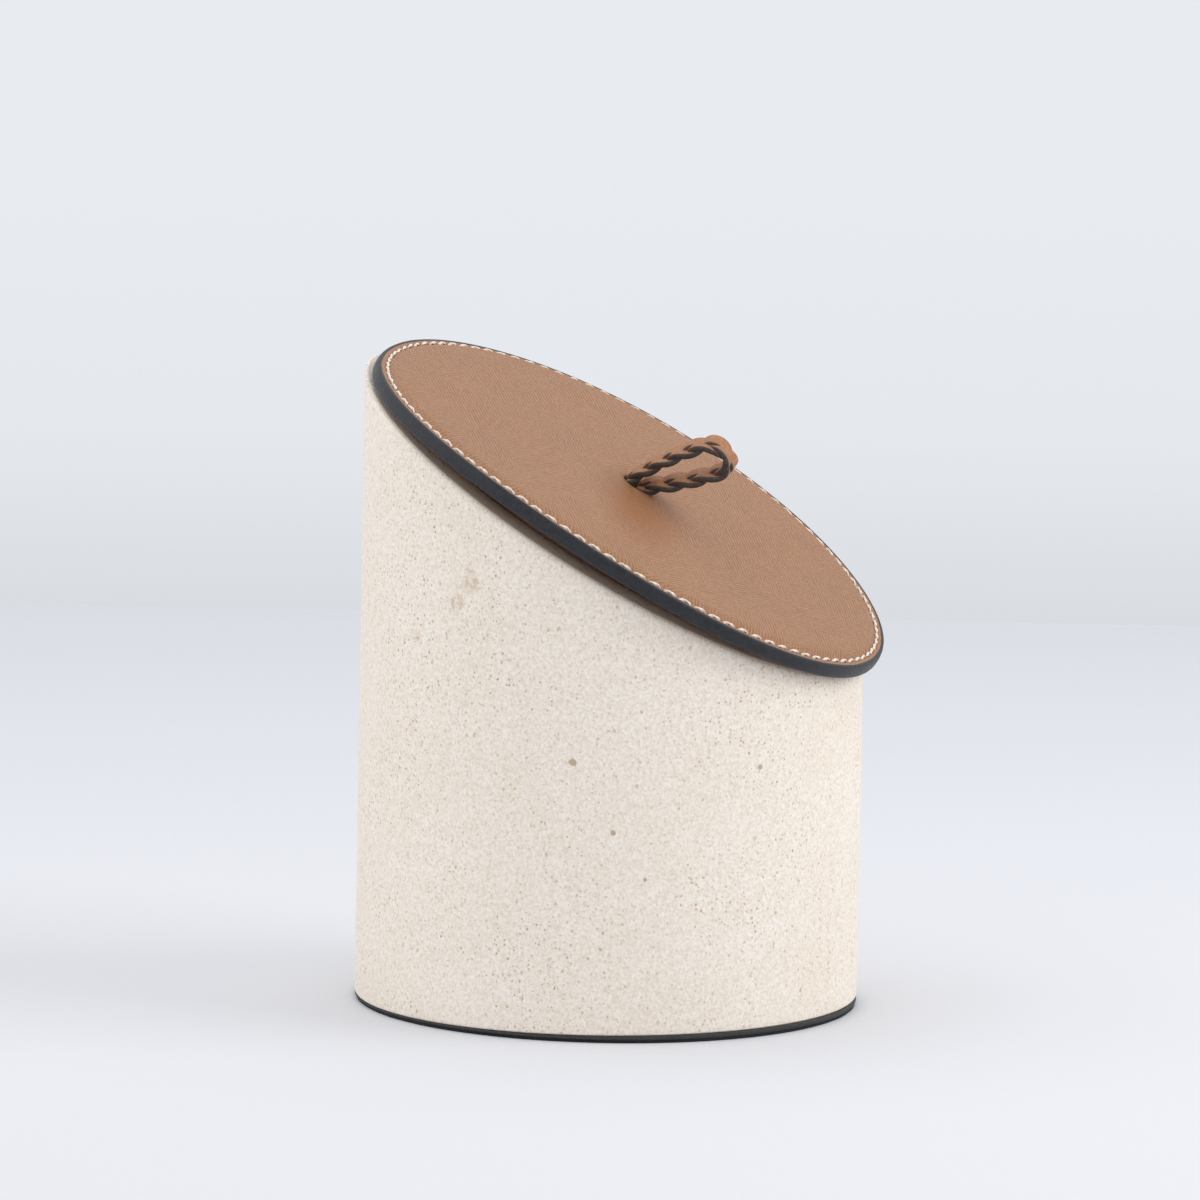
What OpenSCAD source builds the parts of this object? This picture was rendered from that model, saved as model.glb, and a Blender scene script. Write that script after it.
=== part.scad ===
// Stone canister with a slanted rim and a lift-off leather lid.
// A turned limestone pot stands on a black leather base. Its rim is cut at a
// slant, low at the front (-Y). The lid is a stitched leather sandwich, bowed
// a little along the slope, with a plug below that drops into the bore and a
// braided leather loop to pull it by.
// Origin: centre of the face it stands on. +Z up, the rim falls towards -Y.

/* [Stone pot] */
// Outside diameter of the stone
stone_d = 100; // [80:1:130]
// Height of the slanted rim on the pot's axis, above the table
rim_mid_h = 98.3; // [80:0.1:130]
// Slope of the rim, in degrees from level
rim_slope = 30; // [15:1:35]
// Thickness of the stone wall
stone_wall = 7; // [6:0.5:10]
// Thickness of the stone under the cavity
stone_floor = 8; // [5:0.5:15]

/* [Base and liner] */
// Thickness of the leather disc glued under the stone
base_leather_t = 1.2; // [0.8:0.1:3]
// Thickness of the soft sole below the leather
base_sole_t = 0.6; // [0.4:0.1:2]
// How far the sole's edge lies inside the leather's
base_sole_inset = 0.3; // [0.1:0.1:2]
// Thickness of the suede disc on the cavity's floor
floor_liner_t = 1; // [0.6:0.1:2]

/* [Lid sandwich] */
// Length of the lid along the slope
lid_long = 116.8; // [110:0.2:125]
// Width of the lid across the slope
lid_wide = 106.6; // [104:0.2:115]
// How far the lid has slid down the slope
lid_slide = 1.9; // [0:0.1:3]
// Rise of the lid's middle above its two ends
lid_bow = 2.9; // [1:0.1:4]
// Gap between the lid's ends and the rim
lid_seat_gap = 0.4; // [0.1:0.1:0.8]
// Thickness of the upper leather
top_leather_t = 1.2; // [0.8:0.1:2]
// Thickness of the stiff board between the leathers
core_t = 0.8; // [0.4:0.1:2]
// Thickness of the lower leather
lining_t = 0.9; // [0.6:0.1:2]
// Thickness of the black coat built up on the cut edge
edge_coat_t = 0.3; // [0.2:0.05:0.5]

/* [Stitching] */
// Distance between neighbouring stitches
stitch_pitch = 3.45; // [2.5:0.05:5]
// Length of thread that shows in one stitch
stitch_len = 2.6; // [1.5:0.1:2.9]
// Thickness of the thread
thread_d = 0.6; // [0.4:0.05:0.9]
// Distance from the lid's outer edge to the stitches
stitch_inset = 2.1; // [1.6:0.1:5]

/* [Plug under the lid] */
// Depth of the plug below the rim
plug_depth = 5; // [3:0.5:12]
// Running gap between the plug and the bore
plug_gap = 0.5; // [0.2:0.1:1.5]
// Thickness of the leather round the plug
plug_wrap_t = 1; // [0.6:0.1:2]
// Thickness of the suede under the plug
plug_lining_t = 1; // [0.6:0.1:2]

/* [Pull loop] */
// Length of the loop above the lid
pull_len = 25; // [20:1:40]
// Width of the braid
braid_w = 4.7; // [3:0.1:5.2]
// Thickness of the braid
braid_t = 1.7; // [1.2:0.1:1.8]
// Gap inside the loop where it is widest
pull_gap = 5; // [3:0.1:10]
// Length of braid between two bumps on one edge
braid_pitch = 4.6; // [3:0.1:8]
// Lean of the loop down the slope
pull_lean = 34; // [0:1:40]
// Tilt of the loop to the left
pull_tilt = 25; // [0:1:35]
// Turn of the loop about its root
pull_turn = 8; // [-20:1:20]
// How far the hole lies to the right of the lid's middle
pull_right = 1; // [-4:0.1:4]
// How far the hole lies up the slope from the lid's middle
pull_up = 1.2; // [-4:0.1:4]
// Diameter of the hole that the braid comes out of
pull_hole_d = 7.4; // [7:0.1:10]
// Diameter of the dimple that the braid pulls in the leather
dimple_d = 22; // [14:1:34]
// Depth of the dimple at the hole
dimple_depth = 1.6; // [0.5:0.1:1.9]
// Diameter of the knot under the board
knot_d = 11; // [9:0.5:16]
// Height of the knot
knot_h = 3.4; // [2.5:0.1:5]

/* [Hidden] */
$fn = 128;

fit_gap = 0.1;      // between parts of one body whose curved faces lie side by side
swing_gap = 0.35;   // between the loop and what it swings in
cut = 1;            // how far a cutting body runs past the face it cuts
stone_z = base_leather_t + base_sole_t;     // underside of the stone
stone_r = stone_d / 2;
bore_r = stone_r - stone_wall;
floor_z = stone_z + stone_floor;            // top of the stone floor
plug_r = bore_r - plug_gap;
sandwich_t = lining_t + core_t + top_leather_t;
half_long = lid_long / 2;
half_wide = lid_wide / 2;
// the bow is an arc over the lid's length: its radius follows from length and rise
bow_r = (half_long * half_long + lid_bow * lid_bow) / (2 * lid_bow);
// heights in the lid's own frame, above the plane of the rim, at the lid's middle
lining_z = lid_seat_gap + lid_bow;
core_z = lining_z + lining_t;
top_z = core_z + core_t;
skin_z = top_z + top_leather_t;
tall = 3 * stone_d;  // longer than anything that it cuts
knot_low = plug_lining_t - plug_depth + fit_gap;    // underside of the knot, above the rim's plane

// Places children drawn in the lid's frame: z is square to the slanted rim, y climbs the slope
module on_rim() {
    translate([0, 0, rim_mid_h]) rotate([rim_slope, 0, 0]) children();
}

// Outline of the lid, drawn in by inset all round
module lid_outline(inset = 0, steps = 120) {
    polygon([for (i = [0:steps - 1])
        let (a = 360 * i / steps)
            [(half_wide - inset) * cos(a), (half_long - inset) * sin(a) - lid_slide]]);
}

// Solid below a bowed surface that is z high at the lid's middle
module under_bow(z) {
    translate([0, -lid_slide, z - bow_r]) rotate([0, 90, 0]) cylinder(r = bow_r, h = tall, center = true, $fn = 720);
}

// One bowed layer of the lid, from z upwards
module bowed_layer(z, t, inset = 0) {
    difference() {
        intersection() {
            linear_extrude(skin_z + cut) lid_outline(inset);
            under_bow(z + t);
        }
        under_bow(z);
    }
}

// Where the hole for the pull lies on the lid
hole_at = [pull_right, pull_up - lid_slide, 0];

// Room for the braid, square through the lid
module pull_hole(d) {
    translate(hole_at - [0, 0, tall / 2]) cylinder(d = d, h = tall);
}

// Everything below the plane of the rim, moved up by z
module below_rim(z) {
    on_rim() translate([-tall / 2, -tall / 2, z - tall]) cube(tall);
}

module stone_body() {
    color("#E6DCCB") difference() {
        intersection() {
            translate([0, 0, stone_z]) cylinder(r = stone_r, h = tall);
            below_rim(0);
        }
        translate([0, 0, floor_z]) cylinder(r = bore_r, h = tall);
    }
}

module base_leather() {
    color("#2E2C2B") translate([0, 0, base_sole_t]) cylinder(r = stone_r, h = base_leather_t);
}

module base_sole() {
    color("#1B1B1D") cylinder(r = stone_r - base_sole_inset, h = base_sole_t);
}

module floor_liner() {
    color("#A87B55") translate([0, 0, floor_z]) cylinder(r = bore_r - plug_gap, h = floor_liner_t);
}

// The plug follows the upright bore, so that the lid lifts straight up
module plug_slice(r, z_low) {
    difference() {
        intersection() {
            cylinder(r = r, h = tall);
            on_rim() under_bow(lining_z);
        }
        below_rim(z_low);
    }
}

module plug_board() {
    knot_room = knot_h + 2 * fit_gap;
    color("#9C8468") difference() {
        plug_slice(plug_r - plug_wrap_t - fit_gap, plug_lining_t - plug_depth);
        on_rim() pull_hole(pull_hole_d);
        on_rim() translate(hole_at + [0, 0, knot_low - cut]) cylinder(d = knot_d + 1, h = knot_room + cut);
    }
}

module plug_wrap() {
    color("#8E5E3B") difference() {
        plug_slice(plug_r, plug_lining_t - plug_depth);
        cylinder(r = plug_r - plug_wrap_t, h = tall);
    }
}

module plug_lining() {
    color("#A87B55") intersection() {
        difference() {
            cylinder(r = plug_r, h = tall);
            below_rim(-plug_depth);
        }
        below_rim(plug_lining_t - plug_depth);
    }
}

module lid_lining() {
    color("#8E5E3B") on_rim() difference() {
        bowed_layer(lining_z, lining_t, edge_coat_t);
        pull_hole(pull_hole_d);
    }
}

module lid_core() {
    color("#9C8468") on_rim() difference() {
        bowed_layer(core_z, core_t, edge_coat_t);
        pull_hole(dimple_d);
    }
}

// The upper leather, drawn down into the core's hole by the pull
module lid_top() {
    rim_r = dimple_d / 2;
    hole_r = pull_hole_d / 2;
    mid_r = (rim_r + hole_r) / 2;
    sag = [[rim_r, 0], [mid_r, 0.3 * dimple_depth], [hole_r, dimple_depth]];
    low_z = core_z + fit_gap;
    color("#B27C50") on_rim() {
        difference() {
            bowed_layer(top_z, top_leather_t, edge_coat_t);
            pull_hole(dimple_d - 2 * fit_gap);
        }
        translate(hole_at) rotate_extrude() polygon([
            for (p = sag) [p[0], skin_z - 0.1 - p[1]],
            for (i = [len(sag) - 1:-1:0]) [sag[i][0], max(low_z, skin_z - top_leather_t + 0.1 - sag[i][1])]]);
    }
}

module edge_coat() {
    color("#26262A") on_rim() difference() {
        bowed_layer(lining_z, sandwich_t);
        translate([0, 0, -tall / 2]) linear_extrude(tall) lid_outline(edge_coat_t);
    }
}

// Stitches run round the lid at an even pitch along the ellipse
stitch_a = half_wide - stitch_inset;
stitch_b = half_long - stitch_inset;
// Ramanujan's formula for the length of an ellipse
stitch_run = PI * (3 * (stitch_a + stitch_b) - sqrt((3 * stitch_a + stitch_b) * (stitch_a + 3 * stitch_b)));
stitch_n = round(stitch_run / stitch_pitch);
arc_steps = 360;
function seam_point(a) = [stitch_a * cos(a), stitch_b * sin(a)];
// length along the seam up to each degree
seam_len = [for (i = 0, s = 0; i <= arc_steps; s = s + norm(seam_point(i + 1) - seam_point(i)), i = i + 1) s];
function seam_angle(s) = lookup(s, [for (i = [0:arc_steps]) [seam_len[i], i]]);
function bow_drop(y) = bow_r - sqrt(bow_r * bow_r - y * y);

module stitch_thread() {
    color("#EFE6D2") on_rim() for (k = [0:stitch_n - 1]) {
        a = seam_angle(seam_len[arc_steps] * (k + 0.5) / stitch_n);
        p = seam_point(a);
        heading = atan2(stitch_b * cos(a), -stitch_a * sin(a));
        slope = asin(-p[1] / bow_r);
        translate([p[0], p[1] - lid_slide, skin_z - bow_drop(p[1]) + fit_gap / 2])
            rotate([slope, 0, 0]) rotate([0, 0, heading + 6])
                translate([-stitch_len / 2, 0, 0]) stitch();
    }
}

// One stitch: a short rod of thread with tapered ends, flat below
module stitch() {
    r = thread_d / 2;
    taper = 0.5;
    profile = [[0, 0], [r * 0.4, 0], [r, taper], [r, stitch_len - taper], [r * 0.4, stitch_len], [0, stitch_len]];
    intersection() {
        rotate([0, 90, 0]) rotate_extrude($fn = 16) polygon(profile);
        translate([-cut, -thread_d, 0]) cube([stitch_len + 2 * cut, 2 * thread_d, thread_d]);
    }
}

// The loop bends at its root, a little below the leather's surface
root_z = skin_z - 0.3;
module at_root() {
    on_rim() translate(hole_at + [0, 0, root_z]) rotate([0, 0, pull_turn]) children();
}

// The loop's plane: z points along the loop, x is the width of the braid
module at_pull() {
    at_root() rotate([0, -pull_tilt, 0]) rotate([pull_lean, 0, 0]) children();
}

// Centre line of the loop in its own plane: two legs that bow apart and an arc that joins them
leg_gap = 0.05;     // between the two legs at the root
bend_r = (pull_gap + braid_t) / 2;
root_r = braid_t / 2 + leg_gap / 2;
leg_len = pull_len - bend_r - braid_t / 2;
ring_step = braid_pitch / 6;
leg_rings = ceil(leg_len / ring_step);
arc_rings = 14;
function ease(t) = t * (2 - t);
function leg_point(t) = [root_r + (bend_r - root_r) * ease(t), leg_len * t];
loop_line = concat(
    [for (i = [0:leg_rings - 1]) leg_point(i / leg_rings)],
    [for (i = [0:arc_rings]) let (a = 180 * i / arc_rings) [bend_r * cos(a), leg_len + bend_r * sin(a)]],
    [for (i = [leg_rings - 1:-1:0]) let (p = leg_point(i / leg_rings)) [-p[0], p[1]]]);

// Cross-section of the braid: a flat rounded bar whose two edges swell in turn
section_sides = 12;
edge_swell = 0.25;
function section(s) = [for (k = [0:section_sides - 1])
    let (
        a = 360 * k / section_sides,
        side = cos(a) >= 0 ? 0 : 180,
        half_w = braid_w / 2 - edge_swell * (1 - cos(360 * s / braid_pitch + side)) / 2,
        x = sign(cos(a)) * pow(abs(cos(a)), 0.6) * half_w,
        y = sign(sin(a)) * pow(abs(sin(a)), 0.7) * braid_t / 2
    ) [x, y]];

module pull_braid() {
    n = len(loop_line);
    rings = [for (i = [0:n - 1])
        let (
            p = loop_line[i],
            q = loop_line[min(i + 1, n - 1)] - loop_line[max(i - 1, 0)],
            // the first and last rings lie square to the loop's root
            t = i == 0 ? [0, 1] : i == n - 1 ? [0, -1] : q / norm(q),
            out = [t[1], -t[0]]
        ) [for (c = section(i * ring_step)) [c[0], p[0] + out[0] * c[1], p[1] + out[1] * c[1]]]];
    points = [for (r = rings) each r];
    m = section_sides;
    faces = concat(
        [[for (k = [0:m - 1]) k]],
        [for (i = [0:n - 2]) for (k = [0:m - 1]) each
            let (a = i * m + k, b = i * m + (k + 1) % m)
                [[a, a + m, b], [b, a + m, b + m]]],
        [[for (k = [m - 1:-1:0]) (n - 1) * m + k]]);
    color("#6B4A33") at_pull() polyhedron(points, faces);
}

// Both tails of the braid, from the knot up to the bend. Their top is hollowed so that the loop can swing.
module pull_root() {
    tail_w = braid_w - 2 * fit_gap;
    tail_t = 2 * braid_t;
    tail_low = knot_low + knot_h - root_z;
    swing_r = norm([root_r + braid_t / 2, braid_w / 2 * sin(pull_tilt)]) + swing_gap;
    color("#4A3A2E") at_root() difference() {
        translate([-tail_w / 2, -tail_t / 2, tail_low]) cube([tail_w, tail_t, -tail_low - swing_r / 2]);
        rotate([0, 90, 0]) cylinder(r = swing_r, h = tall, center = true);
    }
}

module pull_knot() {
    r = knot_d / 2;
    bulge = knot_h / 2;
    color("#4A3A2E") on_rim() translate(hole_at + [0, 0, knot_low])
        rotate_extrude() intersection() {
            union() {
                translate([r - bulge, bulge]) circle(bulge, $fn = 48);
                square([r - bulge, knot_h]);
            }
            square([r, knot_h]);
        }
}

stone_body();
base_leather();
base_sole();
floor_liner();
plug_lining();
plug_wrap();
plug_board();
lid_lining();
lid_core();
lid_top();
edge_coat();
stitch_thread();
pull_root();
pull_knot();
pull_braid();
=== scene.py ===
# %% [markdown]
# # A slanted stone box with a stitched leather lid
#
# This lesson dresses a small dressing-table box: a limestone pot cut at a slant, and a leather
# lid with a braided loop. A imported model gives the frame, which is where every piece goes and how
# it moves. Here each piece gets the shape and finish that the real one shows.

# %% Load the frame
import math
import random

import bpy
import numpy as np
from mathutils import Matrix, Vector


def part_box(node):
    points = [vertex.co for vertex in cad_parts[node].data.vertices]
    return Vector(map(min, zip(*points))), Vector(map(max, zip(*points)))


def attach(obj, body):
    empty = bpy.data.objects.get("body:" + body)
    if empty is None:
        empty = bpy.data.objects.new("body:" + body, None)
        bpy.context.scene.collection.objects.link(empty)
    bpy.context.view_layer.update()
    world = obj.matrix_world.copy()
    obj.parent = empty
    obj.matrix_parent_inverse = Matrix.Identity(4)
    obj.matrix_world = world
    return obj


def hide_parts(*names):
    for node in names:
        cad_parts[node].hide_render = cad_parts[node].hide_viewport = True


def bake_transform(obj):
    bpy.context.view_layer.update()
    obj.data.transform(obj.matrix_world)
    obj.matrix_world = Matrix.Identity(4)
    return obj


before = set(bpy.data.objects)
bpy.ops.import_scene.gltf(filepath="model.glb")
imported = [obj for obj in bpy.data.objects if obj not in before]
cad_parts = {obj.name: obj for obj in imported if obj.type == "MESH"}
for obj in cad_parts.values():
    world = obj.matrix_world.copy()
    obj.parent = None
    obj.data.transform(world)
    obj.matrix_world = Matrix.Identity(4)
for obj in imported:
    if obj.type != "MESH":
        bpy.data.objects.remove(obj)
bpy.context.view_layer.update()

# %% [markdown]
# ## Sizes
#
# Most sizes can be read off the frame: the stone's radius is half its box, and the lid's width is
# half the box of its black edge. What a box can't say, such as the slope of the rim, is repeated
# here as a real size.

# %% Read the sizes
MM = 0.001
stone_low, stone_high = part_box("stone_body")
coat_low, coat_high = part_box("edge_coat")
stone_r = (stone_high.x - stone_low.x) / 2
stone_foot = stone_low.z
half_wide = (coat_high.x - coat_low.x) / 2
slope = math.radians(30)
rim_mid = stone_high.z - stone_r * math.tan(slope)
bore_r = stone_r - 7 * MM
floor_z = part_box("floor_liner")[0].z
half_long = 57.9 * MM
lid_slide = 2.3 * MM
lid_bow = 2.9 * MM
lining_z = 0.4 * MM + lid_bow
lining_t = 0.9 * MM
core_t = 0.8 * MM
top_t = 1.2 * MM
top_z = lining_z + lining_t + core_t
skin_z = top_z + top_t
bow_r = (half_long ** 2 + lid_bow ** 2) / (2 * lid_bow)
hole = Vector((4.0 * MM, -0.9 * MM, 0))
hole_r = 3.6 * MM
stitch_count = 98
stitch_inset = 2.1 * MM
print("rim on the axis", round(rim_mid / MM, 1), "mm, stone radius", round(stone_r / MM, 1), "mm")

# %% [markdown]
# ## The camera
#
# A product photographer stands back and uses a long lens, so that upright sides stay upright. The
# camera stands to the box's left and a little in front, with the slope falling to the right.

# %% Place the camera
camera_turn = math.radians(17.24)
camera_away = 3.0
camera_up = 0.5418
camera_nod = math.radians(8.746)
camera_swing = math.radians(-0.049)
camera_roll = math.radians(1.085)
lens_px = 15288.7
photo_px = 1200
sensor = 36


def turned(a, b, angle):
    """Two square directions, turned by an angle in their own plane."""
    return a * math.cos(angle) + b * math.sin(angle), b * math.cos(angle) - a * math.sin(angle)


ahead = Vector((math.cos(camera_turn), math.sin(camera_turn), 0))
right = Vector((math.sin(camera_turn), -math.cos(camera_turn), 0))
ahead, right = turned(ahead, right, camera_swing)
up, ahead = turned(Vector((0, 0, 1)), ahead, camera_nod)
right, up = turned(right, up, camera_roll)
camera = bpy.data.objects.new("camera", bpy.data.cameras.new("camera"))
bpy.context.scene.collection.objects.link(camera)
camera.data.sensor_width = sensor
camera.data.lens = lens_px / photo_px * sensor
camera.data.clip_end = 20
turn = Matrix((right, up, -ahead)).transposed().to_4x4()
stand = Vector((-camera_away * math.cos(camera_turn), -camera_away * math.sin(camera_turn), camera_up))
camera.matrix_world = Matrix.Translation(stand) @ turn
bpy.context.scene.camera = camera
print("lens", round(camera.data.lens), "mm")

# %% [markdown]
# ## Building meshes from rings
#
# Nearly every piece here is round or goes round, so it can be drawn as a pile of rings joined by
# quads. A fan closes the first and last ring, and a ring that joins back to the first makes a
# hoop. Numpy keeps this quick even with many thousands of points.


# %% Helpers for meshes
def ring_quads(rows, cols, hoop=False):
    """Quads between rows rings of cols points; hoop joins the last ring to the first."""
    r = np.arange(rows if hoop else rows - 1)[:, None]
    c = np.arange(cols)[None, :]
    here, over = r * cols + c, r * cols + (c + 1) % cols
    ahead_here, ahead_over = (r + 1) % rows * cols + c, (r + 1) % rows * cols + (c + 1) % cols
    return np.stack([here, over, ahead_over, ahead_here], -1).reshape(-1, 4).tolist()


def add_piece(name, points, faces, materials, face_slots=None, place=None):
    """A new smooth-shaded mesh object, moved by the matrix place before it is used."""
    mesh = bpy.data.meshes.new(name)
    mesh.from_pydata(np.asarray(points).tolist(), [], faces)
    for material in materials:
        mesh.materials.append(material)
    if face_slots is not None:
        mesh.polygons.foreach_set("material_index", face_slots)
    mesh.polygons.foreach_set("use_smooth", [True] * len(mesh.polygons))
    if place is not None:
        mesh.transform(place)
    mesh.update()
    obj = bpy.data.objects.new(name, mesh)
    bpy.context.scene.collection.objects.link(obj)
    return obj


def ring_solid(name, rings, material, place=None, extra=None, extra_rows=()):
    """A closed solid from rings, with a fan on its first and last ring; extra_rows use extra."""
    cols = len(rings[0])
    points = np.concatenate(rings)
    faces = ring_quads(len(rings), cols)
    first, last = len(points), len(points) + 1
    points = np.vstack([points, rings[0].mean(0), rings[-1].mean(0)])
    base = (len(rings) - 1) * cols
    faces += [(first, (k + 1) % cols, k) for k in range(cols)]
    faces += [(last, base + k, base + (k + 1) % cols) for k in range(cols)]
    if extra is None:
        return add_piece(name, points, faces, [material], place=place)
    slots = np.zeros(len(faces), int)
    for row in extra_rows:
        slots[row * cols:(row + 1) * cols] = 1
    return add_piece(name, points, faces, [material, extra], slots.tolist(), place=place)


def dress(obj, body, slot, *nodes):
    """Says what a piece moves with and which CAD nodes it stands for; slot, its finish's name, is not used."""
    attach(obj, body)
    if nodes:
        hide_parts(*nodes)
    print(obj.name, len(obj.data.vertices), "points")
    return obj


def circle(r, z, count, wobble=0):
    """A ring of points round the upright axis."""
    a = np.arange(count) * 2 * math.pi / count
    r = r + wobble
    return np.stack([r * np.cos(a), r * np.sin(a), np.zeros(count) + z], 1)


def smooth(t):
    """0 below 0, 1 above 1 and an even S between."""
    t = np.clip(t, 0, 1)
    return t * t * (3 - 2 * t)


def bump_at(x, middle, width):
    """A soft bump of height 1 round middle."""
    return np.exp(-(((x - middle) / width) ** 2))


lid_place = Matrix.Translation((0, 0, rim_mid)) @ Matrix.Rotation(slope, 4, "X")

# %% [markdown]
# ## Building materials from nodes
#
# A finish is a few textures feeding one shader. All textures here read the object's own
# coordinates in metres, so a scale of 1000 means a feature of about one millimetre.


# %% Helpers for materials
def link(tree, source, target):
    """Joins two sockets."""
    tree.links.new(source, target)


def add_node(tree, kind, settings=None, **inputs):
    """Adds a node, sets its fields, and sets or joins its inputs by name."""
    item = tree.nodes.new(kind)
    for key, value in (settings or {}).items():
        setattr(item, key, value)
    for key, value in inputs.items():
        socket = item.inputs[int(key[1:])] if key[0] == "i" and key[1:].isdigit() else item.inputs[key]
        if isinstance(value, bpy.types.NodeSocket):
            link(tree, value, socket)
        else:
            socket.default_value = value
    return item


def new_finish(name, colour, roughness, **sockets):
    """A Principled material; further sockets are set by name, with _ for a space."""
    material = bpy.data.materials.new(name)
    material.use_nodes = True
    shader = material.node_tree.nodes["Principled BSDF"]
    shader.inputs["Base Color"].default_value = (*colour, 1)
    shader.inputs["Roughness"].default_value = roughness
    for key, value in sockets.items():
        shader.inputs[key.replace("_", " ")].default_value = value
    return material, material.node_tree, shader


def place_texture(tree, scale=(1, 1, 1), rotation=(0, 0, 0)):
    """Object coordinates, stretched and turned."""
    where = add_node(tree, "ShaderNodeTexCoord")
    return add_node(tree, "ShaderNodeMapping", Vector=where.outputs["Object"],
                    Scale=scale, Rotation=rotation).outputs[0]


def noise_at(tree, where, scale, detail=2.0, rough=0.5):
    """Cloudy noise between 0 and 1."""
    return add_node(tree, "ShaderNodeTexNoise", Vector=where, Scale=scale, Detail=detail,
                    Roughness=rough).outputs["Fac"]


def steps(tree, value, low, high, out_low=0.0, out_high=1.0):
    """Maps low..high to out_low..out_high and holds the ends."""
    return add_node(tree, "ShaderNodeMapRange", Value=value, i1=low, i2=high, i3=out_low,
                    i4=out_high).outputs[0]


def maths(tree, operation, a, b=0.0):
    """One sum on one or two values."""
    return add_node(tree, "ShaderNodeMath", {"operation": operation}, i0=a, i1=b).outputs[0]


def blend_colour(tree, amount, a, b):
    """Mixes two colours; each is a socket or three numbers."""
    item = add_node(tree, "ShaderNodeMix", {"data_type": "RGBA"})
    for index, value in ((0, amount), (6, a), (7, b)):
        if isinstance(value, bpy.types.NodeSocket):
            link(tree, value, item.inputs[index])
        else:
            item.inputs[index].default_value = (*value, 1) if isinstance(value, tuple) else value
    return item.outputs[2]


def add_bump(tree, shader, height, depth, under=None):
    """Bends the surface's light by a height map that is depth metres deep."""
    item = add_node(tree, "ShaderNodeBump", Height=height, Distance=depth, Strength=1.0)
    if under is not None:
        link(tree, under, item.inputs["Normal"])
    link(tree, item.outputs[0], shader.inputs["Normal"])
    return item.outputs[0]


# %% [markdown]
# ## Limestone
#
# The stone is a fine shelly limestone, honed but not polished. It is cream, with faint clouds,
# thousands of brown-grey grains under half a millimetre, and now and then a larger one. Grains
# are cells of a Voronoi texture: each cell has a random number, which decides whether it shows as
# a dot, how big and how dark.


# %% Limestone finish
def grains(tree, where, cell, size, share, stretch):
    """Dots in a random share of cells: 1 in a dot's middle and 0 outside."""
    bent = add_node(tree, "ShaderNodeVectorMath", {"operation": "MULTIPLY"}, i0=where, i1=stretch)
    cells = add_node(tree, "ShaderNodeTexVoronoi", Vector=bent.outputs[0], Scale=1 / cell,
                     Randomness=1.0)
    chance = add_node(tree, "ShaderNodeSeparateColor", i0=cells.outputs["Color"])
    radius = steps(tree, chance.outputs[1], 0, 1, size * 0.35, size)
    wobble = steps(tree, noise_at(tree, where, 1.6 / size / cell, 2, 0.6), 0.3, 0.7, -0.45, 0.45)
    reach = maths(tree, "ADD", maths(tree, "DIVIDE", cells.outputs["Distance"], radius), wobble)
    dot = steps(tree, reach, 0.6, 1.0, 1, 0)
    shown = steps(tree, chance.outputs[0], share - 0.001, share + 0.001, 1, 0)
    weight = steps(tree, chance.outputs[2], 0, 1, 0.25, 1)
    return maths(tree, "MULTIPLY", maths(tree, "MULTIPLY", dot, shown), weight)


PITS = ((189, 55.7, 0.8), (198.3, 41.9, 0.5), (233.4, 53.9, 0.6), (205.7, 32.6, 0.35))
SHELLS = ((163, 89.5, 2.3), (159.5, 85.5, 1.7), (146.5, 77.5, 1.6))


def mark_at(tree, where, angle, height, size, ragged):
    """A ragged spot on the pot's wall: 1 in its middle and 0 outside."""
    a = math.radians(angle)
    middle = (stone_r * math.cos(a), stone_r * math.sin(a), height * MM)
    away = add_node(tree, "ShaderNodeVectorMath", {"operation": "DISTANCE"}, i0=where, i1=middle)
    reach = maths(tree, "ADD", maths(tree, "DIVIDE", away.outputs["Value"], size * MM), ragged)
    return steps(tree, reach, 0.8, 1.1, 1, 0)


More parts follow.
